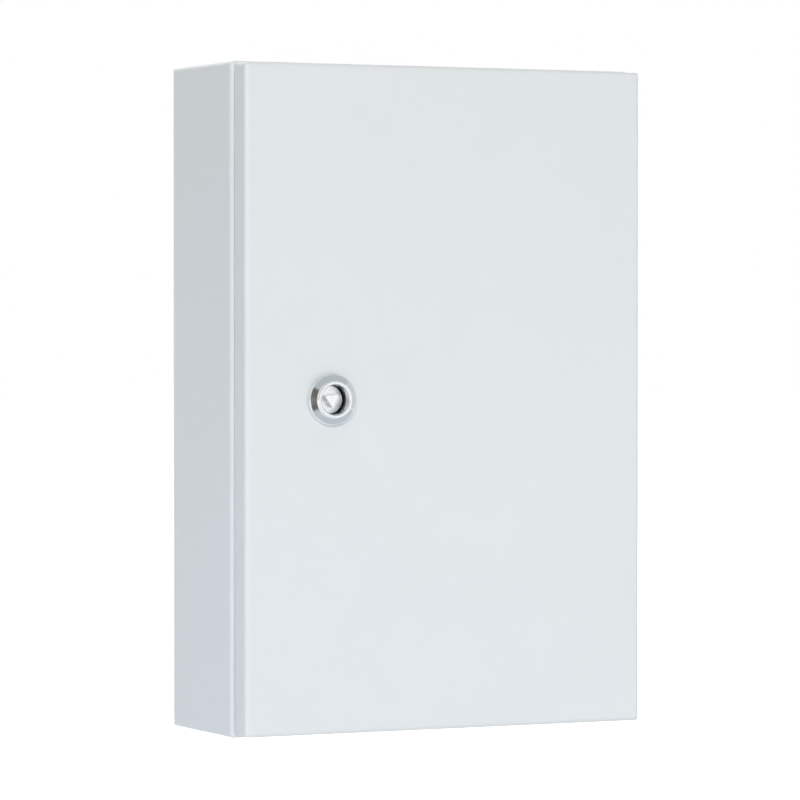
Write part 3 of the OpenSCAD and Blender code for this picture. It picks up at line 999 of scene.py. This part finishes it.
@dataclass
class Door:
    """The door's tray with its foamed gasket and its earth stud."""

    finishes: Finishes
    gasket_corner: float = 6.4 * MM
    gasket_width: float = 8.0 * MM
    foot_share: float = 0.94
    wall_share: float = 0.25
    crown: float = 0.55
    section_steps: int = 14

    def build(self) -> list[bpy.types.Object]:
        """Dresses the door and makes its gasket and stud.

        Returns:
            The new pieces.
        """
        self.finishes.dress("door_shell", Slot.DOOR_PAINT)
        self.finishes.dress("door_earth_washer", Slot.ZINC_PLATE)
        self.finishes.dress("door_earth_nut", Slot.BRASS)
        stud = earth_stud(self.finishes, "door_earth_stud", Axis.BACK, Body.DOOR)
        return [self.gasket(), stud]

    def gasket(self) -> bpy.types.Object:
        """Makes the foamed gasket, a bead with a crowned back."""
        low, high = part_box("door_gasket")
        half = self.gasket_width / 2
        inset = Vector((half, 0.0, half))
        path = rounded_path(low + inset, high - inset, self.gasket_corner - half, low.y)
        height = high.y - low.y
        section = [(-half * self.foot_share, 0.0), (half * self.foot_share, 0.0)]
        for step in range(self.section_steps + 1):
            angle = math.pi * step / self.section_steps
            out, up = math.cos(angle), math.sin(angle)
            rise = self.wall_share + (1.0 - self.wall_share) * up**self.crown
            section.append((half * math.copysign(abs(out) ** self.crown, out), height * rise))
        piece = sweep("foamed_gasket", path, section)
        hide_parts("door_gasket")
        self.finishes.finish_piece(piece, Slot.GASKET_FOAM, Body.DOOR)
        return piece


@dataclass
class Lock:
    """The quarter-turn lock with its cam, and the black ring that seals its core and paints shade
    into the gap round its disc.
    """

    finishes: Finishes
    disc_radius: float = 6.4 * MM
    disc_face: float = 6.5 * MM
    recess_gap: float = 0.7 * MM
    ring_radius: float = 0.22 * MM
    ring_sink: float = 1.5 * MM
    ring_steps: int = 96
    ring_sides: int = 10

    def build(self) -> list[bpy.types.Object]:
        """Dresses the lock's CAD nodes and makes the black ring in the gap round its disc, which
        also stands in for the shade in that gap.

        Returns:
            The new piece.
        """
        slots = {
            "lock_housing": Slot.LOCK_CHROME,
            "lock_core": Slot.LOCK_CHROME,
            "lock_seal": Slot.GASKET_FOAM,
            "lock_nut": Slot.ZINC_PLATE,
            "lock_stop_washer": Slot.ZINC_PLATE,
            "lock_cam": Slot.ZINC_PLATE,
            "cam_washer": Slot.ZINC_PLATE,
            "cam_screw": Slot.ZINC_PLATE,
        }
        for node, slot in slots.items():
            self.finishes.dress(node, slot)
        self.finishes.turn_core()
        return [self.seal_and_gap_shade_ring()]

    def seal_and_gap_shade_ring(self) -> bpy.types.Object:
        """Makes the black rubber ring that seals the gap between the disc and the recess, and
        darkens that gap as painted shade.
        """
        low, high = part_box("lock_housing")
        depth = low.y + self.disc_face + self.ring_sink
        middle = Vector(((low.x + high.x) / 2, depth, (low.z + high.z) / 2))
        radius = self.disc_radius + self.recess_gap / 2
        path = []
        for step in range(self.ring_steps):
            angle = math.tau * step / self.ring_steps
            outward = Vector((math.cos(angle), 0.0, math.sin(angle)))
            path.append((middle + outward * radius, outward))
        thick = self.ring_radius
        turns = [math.tau * step / self.ring_sides for step in range(self.ring_sides)]
        section = [(thick * math.cos(turn), thick * math.sin(turn)) for turn in turns]
        # The black ring is a real core seal and also painted shade: it darkens the gap round the
        # disc.
        ring = sweep("core_seal_and_gap_shade_ring", path, section)
        self.finishes.finish_piece(ring, Slot.GASKET_FOAM, Body.DOOR)
        return ring


# ---------------------------------------------------------------- studio


def direction(azimuth: float, elevation: float) -> Vector:
    """Gives the direction from the enclosure to something that stands round it.

    Args:
        azimuth: Angle from straight ahead of the door towards +X, in degrees.
        elevation: Angle above level, in degrees.

    Returns:
        The direction, as a unit vector.
    """
    turn, rise = math.radians(azimuth), math.radians(elevation)
    level = math.cos(rise)
    return Vector((math.sin(turn) * level, -math.cos(turn) * level, math.sin(rise)))


@dataclass
class Lamp:
    """A soft rectangular lamp that faces the enclosure."""

    name: str
    azimuth: float
    elevation: float
    distance: float
    width: float
    height: float
    watts: float
    colour: Colour = WHITE

    def build(self, target: Vector) -> bpy.types.Object:
        """Places the lamp.

        Args:
            target: Point that it faces.

        Returns:
            The lamp's object.
        """
        light = bpy.data.lights.new(self.name, "AREA")
        light.shape = "RECTANGLE"
        light.size, light.size_y = self.width, self.height
        light.energy, light.color = self.watts, self.colour
        lamp = bpy.data.objects.new(self.name, light)
        lamp.visible_camera = False
        away = direction(self.azimuth, self.elevation)
        lamp.location = target + away * self.distance
        lamp.rotation_mode = "QUATERNION"
        lamp.rotation_quaternion = (-away).to_track_quat("-Z", "Y")
        bpy.context.scene.collection.objects.link(lamp)
        return lamp


@dataclass
class Card:
    """A flat card near the lock that only shiny surfaces mirror."""

    name: str
    azimuth: float
    elevation: float
    distance: float
    width: float
    height: float
    tone: Colour

    def build(self, target: Vector) -> None:
        """Hangs the card.

        Args:
            target: Point that it faces.
        """
        away = direction(self.azimuth, self.elevation)
        side = away.cross(Vector((0.0, 0.0, 1.0))).normalized()
        up = side.cross(away)
        corners = [
            target + away * self.distance + side * (x * self.width / 2) + up * (z * self.height / 2)
            for x, z in SHEET_CORNERS
        ]
        card = mesh_object(self.name, corners, [(0, 1, 2, 3)], smooth=False)
        card.data.materials.append(StudioCard(f"{self.name}_paper", self.tone).material())
        card.visible_camera = False
        card.visible_diffuse = False
        card.visible_shadow = False
        card.visible_transmission = False
        card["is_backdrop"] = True


@dataclass
class Studio:
    """Pale floor, soft lamps, cards for the lock to mirror, white surroundings and the camera."""

    ambient: Colour = (0.324, 0.324, 0.326)
    floor_half: float = 12.0
    floor_drop: float = 0.08
    camera_place: Vector = field(default_factory=lambda: Vector((-0.87000, -1.82960, 0.03516)))
    camera_yaw: float = 25.824
    camera_pitch: float = -1.049
    lens_mm: float = 195.59
    sensor_mm: float = 36.0
    clip_near: float = 0.05
    clip_far: float = 60.0

    def build(self) -> None:
        """Makes the whole studio."""
        low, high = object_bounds()
        self.floor(low.z - self.floor_drop)
        self.world()
        self.camera()
        # Name, azimuth, elevation, distance, width, height, watts and colour.
        lamps = [
            Lamp("key_softbox", -24.0, 18.0, 6.0, 3.0, 2.5, 170.0),
            Lamp("top_softbox", 10.0, 78.0, 2.4, 2.0, 1.6, 10.0),
            Lamp("right_fill", 118.0, 12.0, 3.0, 2.0, 2.0, 15.0),
            Lamp("back_fill", 172.0, 14.0, 3.0, 2.0, 2.0, 20.0),
            Lamp("left_low_fill", -76.0, -20.0, 0.52, 0.40, 0.08, 0.23, (0.40, 0.58, 1.0)),
            Lamp("front_low_fill", 14.0, -20.0, 0.52, 0.50, 0.08, 0.26, (0.78, 0.82, 1.0)),
        ]
        for lamp in lamps:
            self.spare_chrome(lamp.build((low + high) / 2))
        self.cards()
        bpy.context.scene.view_settings.view_transform = "Standard"

    def floor(self, level: float) -> None:
        """Lays the floor.

        Args:
            level: Height of the floor.
        """
        half = self.floor_half
        corners = [Vector((x * half, y * half, level)) for x, y in SHEET_CORNERS]
        floor = mesh_object("studio_floor", corners, [(0, 1, 2, 3)], smooth=False)
        if floor.data.polygons[0].normal.z < 0.0:
            floor.data.flip_normals()
        floor.data.materials.append(StudioPaper("studio_paper").material())
        floor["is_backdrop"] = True

    def world(self) -> None:
        """Surrounds the enclosure with white that is dimmer as a lamp than as a background."""
        world = bpy.data.worlds.new("studio_white")
        bpy.context.scene.world = world
        world.use_nodes = True
        nodes, links = world.node_tree.nodes, world.node_tree.links
        nodes.clear()
        seen = seen_rays(nodes, links)
        background = nodes.new("ShaderNodeBackground")
        light = mixed_colour(nodes, links, seen, self.ambient, WHITE)
        links.new(light, background.inputs["Color"])
        output = nodes.new("ShaderNodeOutputWorld")
        links.new(background.outputs[0], output.inputs["Surface"])

    def sight(self) -> Vector:
        """Gives the direction that the camera looks in."""
        yaw, pitch = math.radians(self.camera_yaw), math.radians(self.camera_pitch)
        level = math.cos(pitch)
        return Vector((math.sin(yaw) * level, math.cos(yaw) * level, math.sin(pitch)))

    def camera(self) -> None:
        """Places the camera."""
        data = bpy.data.cameras.new("studio_camera")
        data.sensor_width, data.lens = self.sensor_mm, self.lens_mm
        data.clip_start, data.clip_end = self.clip_near, self.clip_far
        camera = bpy.data.objects.new("studio_camera", data)
        camera.location = self.camera_place
        camera.rotation_mode = "QUATERNION"
        camera.rotation_quaternion = self.sight().to_track_quat("-Z", "Y")
        bpy.context.scene.collection.objects.link(camera)
        bpy.context.scene.camera = camera

    def cards(self) -> None:
        """Hangs the cards that the lock mirrors: one dark, near the camera, and three grey."""
        low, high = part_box("lock_housing")
        lock = Vector(((low.x + high.x) / 2, low.y, (low.z + high.z) / 2))
        # Name, azimuth, elevation, distance, width, height and tone.
        for card in (
            Card("dark_card", -23.0, 0.0, 0.16, 0.060, 0.155, (0.150, 0.132, 0.118)),
            Card("upper_card", 25.0, 52.0, 0.90, 1.80, 0.90, (0.55, 0.60, 0.63)),
            Card("lower_card", 25.0, -49.0, 0.18, 0.50, 0.17, (0.62, 0.67, 0.72)),
            Card("right_card", 78.0, 0.0, 0.90, 0.50, 0.90, (0.70, 0.76, 0.76)),
        ):
            card.build(lock)

    def spare_chrome(self, lamp: bpy.types.Object) -> None:
        """Keeps a lamp's glare off the polished lock, which mirrors the cards instead.

        Args:
            lamp: The lamp.
        """
        lit = bpy.data.collections.new(f"{lamp.name}_lights")
        chrome = {frame["nodes"][name] for name in ("lock_housing", "lock_core")}
        for piece in bpy.context.scene.objects:
            if piece.type == "MESH" and piece not in chrome:
                lit.objects.link(piece)
        lamp.light_linking.receiver_collection = lit


def main() -> None:
    """Builds every sub-assembly and the studio, in order."""
    logging.basicConfig(level=logging.INFO, format="%(name)s: %(message)s")
    finishes = Finishes()
    finishes.build()
    for assembly in (Housing(finishes), Hinges(finishes), Door(finishes), Lock(finishes)):
        for piece in assembly.build():
            LOG.info("%s has %d faces", piece.name, len(piece.data.polygons))
    Studio().build()


if __name__ == "__main__":
    main()
